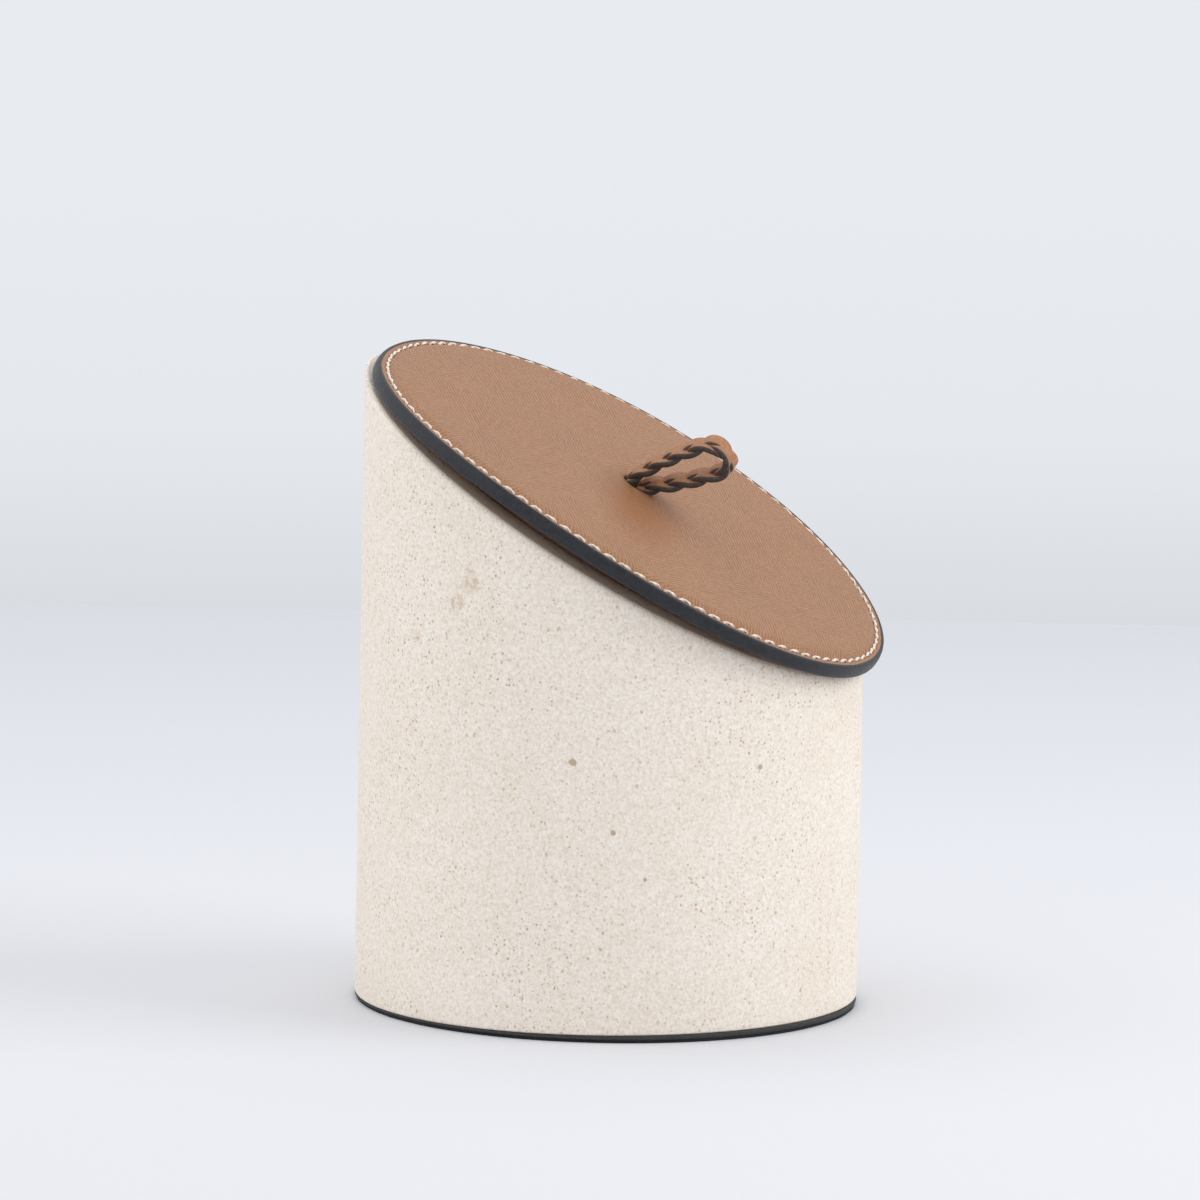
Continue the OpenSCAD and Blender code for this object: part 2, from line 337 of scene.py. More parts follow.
def make_limestone(name, sawn=False):
    """Cream stone with clouds, grains, tan shell patches and fine pores; sawn adds painted shade from the lid
    over the rim face.
    """
    material, tree, shader = new_finish(name, (0.82, 0.76, 0.68), 0.78, Specular_IOR_Level=0.35)
    where = place_texture(tree)
    clouds = steps(tree, noise_at(tree, where, 38, 5, 0.62), 0.32, 0.7)
    fog = steps(tree, noise_at(tree, where, 260, 4, 0.65), 0.35, 0.65)
    colour = blend_colour(tree, clouds, (0.885, 0.805, 0.71), (0.935, 0.87, 0.795))
    colour = blend_colour(tree, maths(tree, "MULTIPLY", fog, 0.4), colour, (0.94, 0.89, 0.82))
    salt = steps(tree, noise_at(tree, where, 1500, 4, 0.8), 0.42, 0.64)
    colour = blend_colour(tree, maths(tree, "MULTIPLY", salt, 0.5), colour, (0.62, 0.49, 0.35))
    mottle = steps(tree, noise_at(tree, where, 900, 4, 0.75), 0.52, 0.7, 0, 0.5)
    colour = blend_colour(tree, mottle, colour, (0.66, 0.54, 0.42))
    crowd = steps(tree, noise_at(tree, where, 55, 2, 0.5), 0.35, 0.65, 0.35, 1.0)
    fine = maths(tree, "MULTIPLY", grains(tree, where, 0.8 * MM, 0.4, 0.8, (1, 1, 0.9)), crowd)
    colour = blend_colour(tree, maths(tree, "MULTIPLY", fine, 0.95), colour, (0.43, 0.28, 0.14))
    mid = grains(tree, where, 2.2 * MM, 0.2, 0.5, (1, 1, 0.8))
    colour = blend_colour(tree, maths(tree, "MULTIPLY", mid, 0.75), colour, (0.50, 0.32, 0.16))
    large = grains(tree, where, 9 * MM, 0.07, 0.3, (1, 1, 0.8))
    colour = blend_colour(tree, maths(tree, "MULTIPLY", large, 0.75), colour, (0.48, 0.33, 0.19))
    ragged = steps(tree, noise_at(tree, where, 700, 3, 0.7), 0.3, 0.7, -0.35, 0.35)
    pits = [mark_at(tree, where, angle, height, size, ragged) for angle, height, size in PITS]
    shells = [mark_at(tree, where, angle, height, size, ragged) for angle, height, size in SHELLS]
    for pit in pits:
        colour = blend_colour(tree, maths(tree, "MULTIPLY", pit, 0.85), colour, (0.46, 0.33, 0.21))
    speckle = steps(tree, noise_at(tree, where, 800, 4, 0.75), 0.42, 0.6, 0.1, 0.8)
    for shell in shells:
        colour = blend_colour(tree, maths(tree, "MULTIPLY", shell, speckle), colour, (0.60, 0.47, 0.33))
    # Painted shade of the lid over the rim face: brown-grey, strongest towards the outer edge, weaker at the
    # high end, and left off at the chip.
    if sawn:
        reach = add_node(tree, "ShaderNodeVectorMath", {"operation": "MULTIPLY"}, i0=where, i1=(1, 1, 0))
        reach = add_node(tree, "ShaderNodeVectorMath", {"operation": "LENGTH"}, i0=reach.outputs[0])
        painted_rim_shade = steps(tree, reach.outputs["Value"], stone_r - 3.2 * MM, stone_r - 0.4 * MM, 0.0, 0.66)
        back = add_node(tree, "ShaderNodeSeparateXYZ", i0=where).outputs["Y"]
        painted_rim_shade = maths(tree, "MULTIPLY", painted_rim_shade, steps(tree, back, 22 * MM, 46 * MM, 1, 0.3))
        fresh = mark_at(tree, where, 117.5, 124.2, 1.5, ragged)
        painted_rim_shade = maths(tree, "MULTIPLY", painted_rim_shade, maths(tree, "SUBTRACT", 1.0, fresh))
        colour = blend_colour(tree, painted_rim_shade, colour, (0.28, 0.235, 0.19))
    link(tree, colour, shader.inputs["Base Color"])
    pores = maths(tree, "ADD", maths(tree, "MULTIPLY", fine, -0.5), maths(tree, "MULTIPLY", large, -1.5))
    rough = maths(tree, "ADD", noise_at(tree, where, 2600, 3, 0.7), pores)
    add_bump(tree, shader, rough, 0.05 * MM)
    return material


limestone = make_limestone("limestone")
# The rim face's stone: the same limestone with the lid's shade painted on.
rim_stone_painted_shade = make_limestone("limestone_rim_painted_shade", sawn=True)

# %% [markdown]
# ## The pot
#
# The pot was turned and then sawn at a slant, so its rim is an ellipse while every level ring is
# a circle. Each ring of points is lifted to its place by one rule, the height of the sawn plane at
# that point. A narrow chamfer runs round the outer edge of the rim, with a few tiny chips.

# %% Pot mesh
rng = random.Random(7)
pot_sides = 720
pot_angles = np.arange(pot_sides) * 2 * math.pi / pot_sides
rim_chamfer = 0.55 * MM
foot_round = 0.5 * MM
foot_lean = 0.85 * MM
lean_side = math.radians(107)


def foot_drop(count):
    """How much thinner the foot is at each angle: the stone stands a little off square."""
    a = np.arange(count) * 2 * math.pi / count
    return foot_lean * ((1 + np.cos(a - lean_side)) / 2) ** 1.4


def rim_height(r):
    """Height of the sawn plane at each angle, at radius r."""
    return rim_mid + r * np.sin(pot_angles) * math.tan(slope)


def chips(count, depth):
    """Small dips spread at random round a ring."""
    dips = np.zeros(pot_sides)
    for _ in range(count):
        middle, width = rng.uniform(0, 2 * math.pi), rng.uniform(0.004, 0.02)
        gap = (pot_angles - middle + math.pi) % (2 * math.pi) - math.pi
        dips += depth * rng.uniform(0.2, 1) * np.exp(-((gap / width) ** 2))
    gap = (pot_angles - math.radians(117.5) + math.pi) % (2 * math.pi) - math.pi
    return dips + 2.2 * depth * np.exp(-((gap / 0.013) ** 2))


def make_pot():
    """Outer wall, rim, bore and floor as one closed skin."""
    foot = stone_foot - foot_drop(pot_sides)
    rings = [circle(stone_r - 3 * MM, foot, pot_sides)]
    for k in range(5):
        a = k / 4 * math.pi / 2
        drop = foot_round * (1 - math.sin(a))
        rings.append(circle(stone_r - drop, foot + foot_round * (1 - math.cos(a)), pot_sides))
    worn = chips(46, 0.25 * MM)
    wall_low = foot + foot_round
    wall_rows = 64
    wall_high = rim_height(stone_r) - rim_chamfer - worn
    for k in range(1, wall_rows + 1):
        rings.append(circle(stone_r, wall_low + (wall_high - wall_low) * k / wall_rows, pot_sides))
    for inset, drop in ((0.1, 0.5), (0.4, 0.2), (0.65, 0.04), (0.8, 0.0), (3.0, 0.0), (6.3, 0.0),
                        (6.6, 0.05), (6.85, 0.2), (7.0, 0.5)):
        r = stone_r - inset * MM - worn * (0.6 if inset < 1 else 0)
        rings.append(circle(r, rim_mid + r * np.sin(pot_angles) * math.tan(slope) - drop * MM - worn
                            * (0.5 if inset < 1 else 0), pot_sides))
    # These rim rows take the limestone with painted shade.
    rim_rows = range(len(rings) - 8, len(rings) - 1)
    bore_rows = 24
    bore_high = rim_height(bore_r) - 0.5 * MM
    for k in range(1, bore_rows + 1):
        rings.append(circle(bore_r, bore_high + (floor_z + 1 * MM - bore_high) * k / bore_rows, pot_sides))
    for k in range(1, 5):
        a = k / 4 * math.pi / 2
        rings.append(circle(bore_r - 1 * MM * (1 - math.cos(a)), floor_z + 1 * MM * (1 - math.sin(a)),
                            pot_sides))
    rings.append(circle(bore_r * 0.5, floor_z, pot_sides))
    return ring_solid("stone_pot", rings, limestone, extra=rim_stone_painted_shade, extra_rows=rim_rows)


pot = dress(make_pot(), "base", "limestone", "stone_body")

# %% [markdown]
# ## The foot
#
# A disc of black leather is glued under the stone, with a thinner soft sole below it. Seen from
# the side it is a dark line about two millimetres high, with a slightly fibrous, wavy edge. The
# wave is real geometry, and a stretched noise gives the fibres.


# %% Black leather finish
def make_black_leather(name, dark, pale, roughness, fibre):
    """Dull black leather with fibres lying round the edge."""
    material, tree, shader = new_finish(name, dark, roughness, Specular_IOR_Level=0.4)
    where = place_texture(tree, scale=(1, 1, 3.5))
    fibres = noise_at(tree, where, fibre, 4, 0.7)
    colour = blend_colour(tree, steps(tree, fibres, 0.4, 0.75), dark, pale)
    link(tree, colour, shader.inputs["Base Color"])
    add_bump(tree, shader, fibres, 0.12 * MM)
    return material


foot_leather = make_black_leather("foot_leather", (0.024, 0.0235, 0.024), (0.066, 0.063, 0.058), 0.62, 1500)
sole_suede = make_black_leather("sole_suede", (0.012, 0.012, 0.014), (0.03, 0.03, 0.034), 0.9, 2500)


# %% Foot meshes
def wavy(count, size, seed):
    """A ring of small smooth random offsets."""
    pick = random.Random(seed)
    a = np.arange(count) * 2 * math.pi / count
    total = np.zeros(count)
    for waves in (3, 5, 9, 17, 31, 57, 93):
        total += math.sqrt(3 / waves) * pick.uniform(0.4, 1) * np.sin(waves * a + pick.uniform(0, 6.3))
    return total * size


def make_disc(name, r, low, high, edge, material, seed, sides=540, wave=0.05 * MM, lean=0):
    """A disc with a rounded, slightly wavy edge."""
    offset = wavy(sides, wave, seed)
    high = high - foot_drop(sides) * lean
    rings = [circle(r * 0.6, low, sides), circle(r - edge * 1.6, low, sides, offset)]
    for k in range(9):
        a = (k / 8 - 0.5) * math.pi
        bulge = edge * (math.cos(a) - 1) + edge * 0.0
        rings.append(circle(r + bulge, (low + high) / 2 + (high - low) / 2 * math.sin(a), sides, offset))
    rings += [circle(r - edge * 1.6, high, sides, offset), circle(r * 0.6, high, sides)]
    return ring_solid(name, rings, material)


leather_low, leather_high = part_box("base_leather")
sole_low, sole_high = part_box("base_sole")
dress(make_disc("foot_leather_disc", leather_high.x - 0.05 * MM, leather_low.z, leather_high.z, 0.25 * MM,
                foot_leather, 3, lean=1), "base", "base_leather", "base_leather")
dress(make_disc("foot_sole_disc", sole_high.x, sole_low.z, sole_high.z, 0.2 * MM, sole_suede, 4),
      "base", "base_sole", "base_sole")

# %% [markdown]
# ## Suede and lining leather
#
# Inside, the pot's floor and the underside of the lid's plug are lined with suede: a short nap
# that catches the light at grazing angles, which the shader's sheen gives.


# %% Suede and lining finishes
def make_suede(name, dark, pale):
    """Brown suede with a soft nap."""
    material, tree, shader = new_finish(name, dark, 0.95, Specular_IOR_Level=0.2, Sheen_Weight=0.35,
                                        Sheen_Roughness=0.4)
    where = place_texture(tree)
    brushed = steps(tree, noise_at(tree, where, 120, 3, 0.6), 0.35, 0.65)
    nap = noise_at(tree, where, 4200, 3, 0.7)
    colour = blend_colour(tree, brushed, dark, pale)
    colour = blend_colour(tree, steps(tree, nap, 0.45, 0.8, 0, 0.35), colour, tuple(c * 1.6 for c in pale))
    link(tree, colour, shader.inputs["Base Color"])
    add_bump(tree, shader, nap, 0.15 * MM)
    return material


def make_lining_leather():
    """Smooth brown lining leather, slightly creased."""
    material, tree, shader = new_finish("lining_leather", (0.22, 0.13, 0.08), 0.6)
    where = place_texture(tree)
    tone = steps(tree, noise_at(tree, where, 160, 3, 0.6), 0.3, 0.7)
    colour = blend_colour(tree, tone, (0.17, 0.10, 0.062), (0.26, 0.155, 0.10))
    link(tree, colour, shader.inputs["Base Color"])
    add_bump(tree, shader, noise_at(tree, where, 1400, 4, 0.65), 0.08 * MM)
    return material


suede = make_suede("suede", (0.27, 0.15, 0.085), (0.34, 0.2, 0.12))
lining_leather = make_lining_leather()

# %% Floor liner
liner_low, liner_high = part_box("floor_liner")
dress(make_disc("floor_liner_disc", liner_high.x - 0.1 * MM, liner_low.z, liner_high.z, 0.4 * MM, suede, 9),
      "base", "suede", "floor_liner")

# %% [markdown]
# ## The plug
#
# A plug under the lid keeps it from sliding down the slope. Its sides are upright, like the bore,
# so that the lid lifts straight up, and its underside is parallel to the rim. Brown leather wraps
# the side, with a lapped seam, and suede covers the underside.

# %% Plug meshes
plug_r = bore_r - 0.5 * MM
plug_depth = 5 * MM
plug_sides = 540


def bow_drop(y):
    """How far the bowed lid lies below its middle at y, in the lid's frame."""
    return bow_r - np.sqrt(bow_r ** 2 - (y + lid_slide) ** 2)


def slanted(r, height, wobble=0):
    """An upright circle of radius r laid on a plane parallel to the rim, height above it."""
    ring = circle(r, 0, plug_sides, wobble)
    ring[:, 2] = rim_mid + ring[:, 1] * math.tan(slope) + height / math.cos(slope)
    return ring


def under_lid(r, gap):
    """An upright circle whose height follows the underside of the bowed lid."""
    ring = slanted(r, 0)
    for _ in range(3):
        up_slope = ring[:, 1] / math.cos(slope) + (ring[:, 2] - rim_mid - ring[:, 1] * math.tan(slope)) \
            * math.cos(slope) * math.sin(slope) / math.cos(slope)
        height = lining_z - bow_drop(up_slope) - gap
        ring[:, 2] = rim_mid + ring[:, 1] * math.tan(slope) + height / math.cos(slope)
    return ring


def make_wrap():
    """The leather round the plug, with a lap where its ends meet."""
    a = np.arange(plug_sides) * 2 * math.pi / plug_sides
    lap = 0.35 * MM * smooth((a - 1.9) / 0.01) * smooth((2.06 - a) / 0.03)
    puff = wavy(plug_sides, 0.03 * MM, 12) + lap - 0.35 * MM
    low = 1 * MM - plug_depth
    top = under_lid(plug_r, 0.05 * MM)
    bottom = slanted(plug_r, low)
    outer = []
    for k in range(9):
        t = k / 8
        ring = top * (1 - t) + bottom * t
        swell = 0.2 * MM * math.sin(math.pi * t) ** 0.5
        ring[:, 0] += (puff + swell) * np.cos(a)
        ring[:, 1] += (puff + swell) * np.sin(a)
        outer.append(ring)
    inner = [slanted(plug_r - 1 * MM, low), under_lid(plug_r - 1 * MM, 0.05 * MM)]
    rings = outer + inner
    faces = ring_quads(len(rings), plug_sides, hoop=True)
    return add_piece("plug_side", np.concatenate(rings), faces, [lining_leather])


def make_plug_face():
    """The suede under the plug, padded a little at its edge."""
    rings = [slanted(plug_r * 0.5, -plug_depth), slanted(plug_r - 2 * MM, -plug_depth)]
    for k in range(7):
        a = (k / 6 - 0.5) * math.pi
        mid = 0.5 * MM - plug_depth
        rings.append(slanted(plug_r - 0.75 * MM + 0.45 * MM * math.cos(a), mid + 0.5 * MM * math.sin(a)))
    rings.append(slanted(plug_r * 0.5, 1 * MM - plug_depth))
    return ring_solid("plug_face", rings, suede)


dress(make_wrap(), "lid", "lining_leather", "plug_wrap")
dress(make_plug_face(), "lid", "suede", "plug_lining")

# %% [markdown]
# ## Grained tan leather
#
# The lid's upper leather has a fine printed grain: two sets of short ridges that cross at a
# slant, about half a millimetre apart. Two noises, each stretched along its own diagonal, give
# the ridges. Valleys are a little darker and redder, and the whole hide varies softly.


# %% Tan leather finish
def ridges(tree, turn_deg, pitch, length, wander):
    """Short ridges that run at turn_deg across the lid, pitch apart and length long."""
    where = add_node(tree, "ShaderNodeTexCoord").outputs["Object"]
    flat = add_node(tree, "ShaderNodeMapping", Vector=where, Rotation=(-slope, 0, math.radians(-turn_deg)))
    lines = add_node(tree, "ShaderNodeMapping", Vector=flat.outputs[0],
                     Scale=(1 / length, 1 / pitch, 1 / pitch)).outputs[0]
    wave = add_node(tree, "ShaderNodeTexWave", {"bands_direction": "Y"}, Vector=lines, Scale=0.314,
                    Distortion=wander, Detail=2.0, i4=4.0).outputs["Fac"]
    return maths(tree, "MULTIPLY", wave, noise_at(tree, lines, 1.0, 2, 0.6))


def painted_shade_patch(tree, where):
    """A long soft patch of painted shade in front of the hole, where the dimple's near side turns from the
    light: 1 in its middle.
    """
    middle = lid_place @ Vector((hole.x - 16 * MM, hole.y - 5.5 * MM, skin_z))
    reach = add_node(tree, "ShaderNodeVectorMath", {"operation": "SUBTRACT"}, i0=where, i1=tuple(middle))
    squares = 0.0
    for direction, size in (((0.945, 0.33, 0), 22 * MM), ((-0.33, 0.945, 0), 10 * MM)):
        line = lid_place.to_3x3() @ Vector(direction) / size
        along = add_node(tree, "ShaderNodeVectorMath", {"operation": "DOT_PRODUCT"}, i0=reach.outputs[0],
                         i1=tuple(line)).outputs["Value"]
        squares = maths(tree, "ADD", maths(tree, "MULTIPLY", along, along), squares)
    return steps(tree, maths(tree, "SQRT", squares), 0.3, 1.15, 1, 0)


def make_tan_leather(name, pale, deep, grain, roughness):
    """Satin tan leather with crossed ridges."""
    material, tree, shader = new_finish(name, pale, roughness, Specular_IOR_Level=0.42)
    where = place_texture(tree)
    first = ridges(tree, 33, 0.78 * MM, 2.6 * MM, 3.0)
    second = ridges(tree, -24, 0.85 * MM, 2.2 * MM, 3.5)
    area = steps(tree, noise_at(tree, where, 70, 2, 0.5), 0.4, 0.6)
    pebble = noise_at(tree, where, 2400, 3, 0.6)
    height = maths(tree, "ADD", maths(tree, "MULTIPLY", first, maths(tree, "ADD", area, 0.35)),
                   maths(tree, "MULTIPLY", second, maths(tree, "SUBTRACT", 1.1, area)))
    height = maths(tree, "ADD", height, maths(tree, "MULTIPLY", pebble, 0.3))
    hide = steps(tree, noise_at(tree, where, 45, 3, 0.55), 0.3, 0.7)
    colour = blend_colour(tree, hide, pale, tuple(c * k for c, k in zip(pale, (1.07, 1.03, 1.0))))
    valley = steps(tree, height, 0.25, 0.6, 0.55, 0)
    colour = blend_colour(tree, valley, colour, deep)
    # Painted shade: a darker, more saturated patch in front of the hole, on the dimple's near side.
    painted_dimple_shade = painted_shade_patch(tree, where)
    colour = blend_colour(tree, painted_dimple_shade, colour, (0.28, 0.108, 0.028))
    link(tree, colour, shader.inputs["Base Color"])
    gloss = steps(tree, height, 0.25, 0.8, roughness + 0.1, roughness - 0.06)
    link(tree, gloss, shader.inputs["Roughness"])
    add_bump(tree, shader, height, grain)
    return material


tan_leather = make_tan_leather("tan_leather", (0.345, 0.174, 0.087), (0.22, 0.088, 0.03), 0.14 * MM, 0.5)

# %% [markdown]
# ## The lid's upper leather
#
# The skin follows the bow of the lid. The pull draws it down into a dimple in the middle, and the
# stitching presses a shallow groove near the edge, deeper where each stitch goes through. Rings
# lie close together near the seam, where the small shapes are, and wide apart elsewhere. Inside
# the seam the leather is slightly padded, so from low down it hides the stitches on the far side.

# %% Seam layout
samples_each = 8
lid_sides = stitch_count * samples_each
skin_puff = 0.8 * MM
full_high, full_low = 2.15, 2.04
seam_wide = half_wide - stitch_inset
seam_long = half_long - stitch_inset


def outline(angles, wide, long):
    """Points of the lid's outline: an ellipse that is a little fuller at its high end."""
    power = np.where(np.sin(angles) > 0, 2 / full_high, 2 / full_low)
    x = wide * np.sign(np.cos(angles)) * np.abs(np.cos(angles)) ** power
    y = long * np.sign(np.sin(angles)) * np.abs(np.sin(angles)) ** power - lid_slide
    return x, y


def even_angles(a, b, count):
    """Outline angles whose points are evenly spaced along its length."""
    fine = np.linspace(0, 2 * math.pi, 7201)
    x, y = outline(fine, a, b)
    gaps = np.hypot(np.diff(x), np.diff(y))
    run = np.concatenate([[0], np.cumsum(gaps)])
    return np.interp(np.arange(count) / count * run[-1], run, fine), run[-1]


lid_angles, seam_run = even_angles(seam_wide, seam_long, lid_sides)
pitch = seam_run / stitch_count
to_hole = np.minimum(np.arange(lid_sides) % samples_each, samples_each - np.arange(lid_sides) % samples_each)
to_hole = to_hole * pitch / samples_each
print("stitch pitch", round(pitch / MM, 2), "mm")


def lid_ring(inset, height=0.0):
    """Ring of points drawn in from the lid's outline, before the bow."""
    x, y = outline(lid_angles, half_wide - inset, half_long - inset)
    return np.stack([x, y, np.zeros(lid_sides) + height], 1)


def dimple(ring):
    """Depth of the pull's dimple at each point of a ring."""
    away = np.hypot(ring[:, 0] - hole.x, ring[:, 1] - hole.y)
    near = 0.55 * MM * np.exp(-np.maximum(away - hole_r, 0) / (2.4 * MM))
    wide = 0.4 * MM * bump_at(away, 0, 12 * MM)
    return near + wide


def seam_dip(inset):
    """Groove under the stitches, deeper at the holes, with a soft swell on both sides."""
    groove = 0.12 * MM * bump_at(inset, stitch_inset, 0.45 * MM)
    holes = 0.3 * MM * bump_at(inset, stitch_inset, 0.3 * MM) * bump_at(to_hole, 0, 0.4 * MM)
    swell = 0.05 * MM * (bump_at(inset, stitch_inset + 1.3 * MM, 0.7 * MM)
                         + bump_at(inset, stitch_inset - 1.0 * MM, 0.5 * MM))
    return groove + holes - swell


def on_bow(ring, height):
    """Sets the ring's height above the rim's plane, following the bow."""
    ring[:, 2] = height - bow_drop(ring[:, 1])
    return ring


def make_lid_skin():
    """Upper leather from the edge in to the hole, and back under it."""
    rings = []
    edge_round = 0.55 * MM
    insets = [0.3, 0.34, 0.42, 0.55, 0.75, 1.0, 1.2, 1.4, 1.55, 1.7, 1.82, 1.94, 2.02, 2.1, 2.18, 2.26,
              2.38, 2.5, 2.65, 2.8, 3.0, 3.3, 3.7, 4.2, 5.0, 6.0]
    rings.append(on_bow(lid_ring(0.3 * MM), top_z + 0.1 * MM))
    for inset in insets:
        d = inset * MM
        roll = edge_round * (1 - math.sqrt(max(0, 1 - max(0, 1 - d / edge_round) ** 2))) * 0.5
        puffed = skin_puff * smooth((d - 2.3 * MM) / (2.0 * MM))
        rings.append(on_bow(lid_ring(d), skin_z - roll + puffed))
        rings[-1][:, 2] -= seam_dip(d)
    border = rings[-1].copy()
    mouth = np.stack([hole.x + hole_r * np.cos(lid_angles), hole.y + hole_r * np.sin(lid_angles),
                      np.zeros(lid_sides)], 1)
    rows = 58
    for k in range(1, rows + 1):
        t = (k / rows) ** 0.8
        rings.append(on_bow(border * (1 - t) + mouth * t, skin_z + skin_puff))
    for inward, down in ((0.15, 0.12), (0.22, 0.4), (0.2, 0.9)):
        shrink = 1 - inward * MM / hole_r
        ring = mouth.copy()
        ring[:, :2] = (ring[:, :2] - np.array(hole[:2])) * shrink + np.array(hole[:2])
        rings.append(on_bow(ring, skin_z + skin_puff - down * MM))
    for ring in rings[2:]:
        ring[:, 2] -= dimple(ring)
    under_mouth, under_edge = mouth * 1.0, lid_ring(0.6 * MM)
    under_mouth[:, :2] = (under_mouth[:, :2] - np.array(hole[:2])) * 1.1 + np.array(hole[:2])
    for t in (0.0, 0.2, 0.5, 1.0):
        ring = on_bow(under_mouth * (1 - t) + under_edge * t, top_z + 0.05 * MM)
        ring[:, 2] -= np.minimum(dimple(ring), 0.9 * MM)
        rings.append(ring)
    faces = ring_quads(len(rings), lid_sides, hoop=True)
    return add_piece("lid_skin", np.concatenate(rings), faces, [tan_leather], place=lid_place)


dress(make_lid_skin(), "lid", "tan_leather", "lid_top")

# %% [markdown]
# ## The inked edge
#
# The cut edge of the sandwich is sanded round and painted with many coats of black edge ink. The
# coats build up into one smooth bulge with a satin shine, and the brush leaves the border on the
# leather's top a little uneven. The edge is a hoop swept round the lid's outline.


# %% Edge finish and mesh
def make_edge_ink():
    """Satin blue-black ink with faint brush marks and specks of dirt."""
    material, tree, shader = new_finish("edge_ink", (0.009, 0.0095, 0.011), 0.45, Specular_IOR_Level=0.36)
    where = place_texture(tree)
    marks = noise_at(tree, where, 900, 4, 0.65)
    colour = blend_colour(tree, steps(tree, marks, 0.35, 0.75), (0.010, 0.0105, 0.0135), (0.026, 0.0275, 0.033))
    link(tree, colour, shader.inputs["Base Color"])
    link(tree, steps(tree, marks, 0.3, 0.7, 0.38, 0.55), shader.inputs["Roughness"])
    add_bump(tree, shader, marks, 0.06 * MM)
    return material


edge_ink = make_edge_ink()


def make_edge_hoop():
    """The bulging inked edge: a painted lip on the top skin, then down to the lining."""
    bulge = 0.7 * MM
    high, low = skin_z + 0.1 * MM, lining_z + 0.12 * MM
    middle, half = (high + low) / 2, (high - low) / 2
    brushed = wavy(lid_sides, 0.07 * MM, 21) + wavy(lid_sides, 0.05 * MM, 23)[::-1]
    fat = wavy(lid_sides, 0.03 * MM, 22)
    rings = [on_bow(lid_ring(bulge + 0.55 * MM), skin_z - 0.5 * MM),
             on_bow(lid_ring(bulge + 0.3 * MM + brushed), skin_z - 0.07 * MM),
             on_bow(lid_ring(bulge + 0.2 * MM + brushed), skin_z + 0.05 * MM)]
    for k in range(17):
        a = (k / 16 - 0.5) * math.pi
        out = bulge * abs(math.cos(a)) ** 0.55
        rings.append(on_bow(lid_ring(bulge - out - fat * (out / bulge)), middle - half * math.sin(a)))
    rings.append(on_bow(lid_ring(1.2 * MM), low + 0.4 * MM))
    faces = ring_quads(len(rings), lid_sides, hoop=True)
    return add_piece("edge_hoop", np.concatenate(rings), faces, [edge_ink], place=lid_place)


dress(make_edge_hoop(), "lid", "edge_ink", "edge_coat")


# %% Lid lining mesh
def make_sheet(name, low, high, inset, material):
    """A thin bowed sheet with a rounded edge, drawn in from the lid's outline."""
    sink = 2.5 * MM
    rings = [on_bow(lid_ring(50 * MM), high - sink), on_bow(lid_ring(24 * MM), high),
             on_bow(lid_ring(inset + 0.2 * MM), high)]
    for k in range(7):
        a = (0.5 - k / 6) * math.pi
        rings.append(on_bow(lid_ring(inset + 0.3 * MM * (1 - math.cos(a))),
                            (low + high) / 2 + (high - low) / 2 * math.sin(a)))
    for inward in (2, 6, 12, 24):
        rings.append(on_bow(lid_ring(inward * MM), low))
    rings.append(on_bow(lid_ring(50 * MM), low - sink))
    return ring_solid(name, rings, material, place=lid_place)


dress(make_sheet("lid_lining_sheet", lining_z - 0.2 * MM, lining_z + lining_t, 1.5 * MM, lining_leather),
      "lid", "lining_leather", "lid_lining")

# %% [markdown]
# ## Saddle stitches
#
# The seam is sewn by hand with waxed linen thread. Each stitch is a short length of two twisted
# plies that comes up out of one hole, lies across the leather at a small slant and dives into the
# next. The plies are two thin tubes that wind round a shared, slightly arched path.


# %% Thread finish and stitches
def make_thread():
    """Cream waxed thread."""
    material, tree, shader = new_finish("thread", (0.86, 0.79, 0.69), 0.55, Sheen_Weight=0.2)
    where = place_texture(tree)
    fuzz = noise_at(tree, where, 3800, 3, 0.6)
    colour = blend_colour(tree, steps(tree, fuzz, 0.3, 0.7), (0.74, 0.64, 0.53), (0.90, 0.84, 0.75))
    link(tree, colour, shader.inputs["Base Color"])
    add_bump(tree, shader, fuzz, 0.04 * MM)
    return material


thread = make_thread()
ply_r = 0.2 * MM
ply_offset = 0.12 * MM
ply_turns = 0.8
stitch_span = 2.85 * MM
stitch_rise = 0.32 * MM
stitch_slant = math.radians(6)


def tube(path, across, above, radius, sides=8):
    """Points of a tube along path; across and above span its cross-section."""
    a = np.arange(sides) * 2 * math.pi / sides
    radius = np.zeros(len(path)) + radius
    return (path[:, None] + radius[:, None, None] * (across[:, None] * np.cos(a)[None, :, None]
                                                     + above[:, None] * np.sin(a)[None, :, None]))


